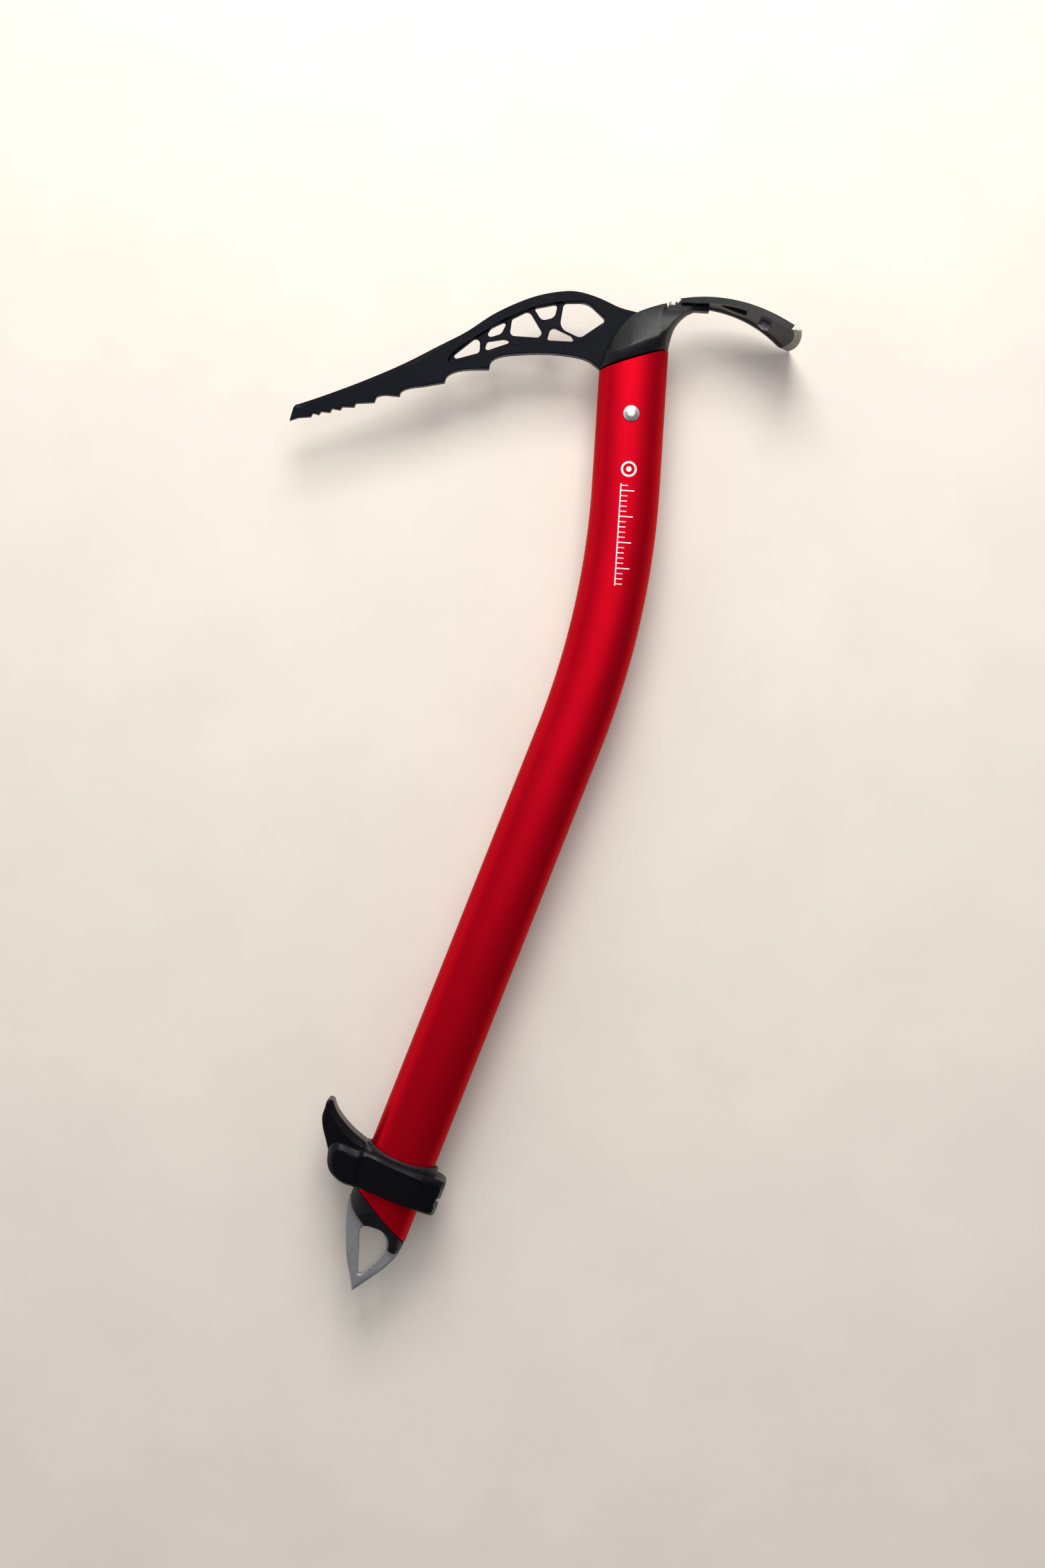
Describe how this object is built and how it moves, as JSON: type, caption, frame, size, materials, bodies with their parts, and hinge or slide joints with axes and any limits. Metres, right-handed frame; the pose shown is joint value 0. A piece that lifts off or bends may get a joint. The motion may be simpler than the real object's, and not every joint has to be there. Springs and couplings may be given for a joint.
{
  "type": "ice axe",
  "caption": "Technical ice axe with a bent oval shaft, pierced toothed pick, scooped adze, spike with a clip hole and a sliding trigger rest.",
  "frame": {"origin": "middle of the bounding box's base; the axe lies flat, its middle plane 25 mm up", "axes": "+Y along the straight upper shaft to the head, +X towards the adze, +Z out of the plane of the axe"},
  "size_m": [0.2444, 0.4904, 0.05],
  "materials": {
    "red_anodised": "red anodised, satin",
    "black_steel": "black coated, satin",
    "black_moulding": "moulded, fine grain",
    "black_alloy": "black anodised, ground bright at the cutting edge",
    "satin_steel": "satin",
    "bright_alloy": "bright, lightly brushed",
    "rest_moulding": "moulded, fine grain",
    "liner_moulding": "moulded, smooth"
  },
  "bodies": {
    "axe": {"shaft_tube": "red_anodised", "pick_plate": "black_steel", "head_cover_front": "black_moulding", "head_cover_back": "black_moulding", "head_rivet": "bright_alloy", "adze": "black_alloy", "adze_root_bolt": "satin_steel", "adze_face_screw": "satin_steel", "adze_face_nut": "satin_steel", "spike_plate": "satin_steel", "spike_plug_front": "black_moulding", "spike_plug_back": "black_moulding", "spike_pin": "satin_steel"},
    "rest": {"rest_yoke": "rest_moulding", "rest_liner": "liner_moulding", "rest_shoe": "satin_steel", "rest_pin": "satin_steel"},
    "hook": {"rest_hook": "rest_moulding"}
  },
  "joints": [
    {"name": "rest_slide", "type": "slide", "parent": "axe", "child": "rest", "axis": [0.3113, 0.9503, 0], "range_m": [0, 0.15]},
    {"name": "hook_pivot", "type": "hinge", "parent": "rest", "child": "hook", "pos_m": [-0.07476, -0.18139, 0.025], "axis": [0, 0, 1], "range_deg": [0, 70]}
  ]
}
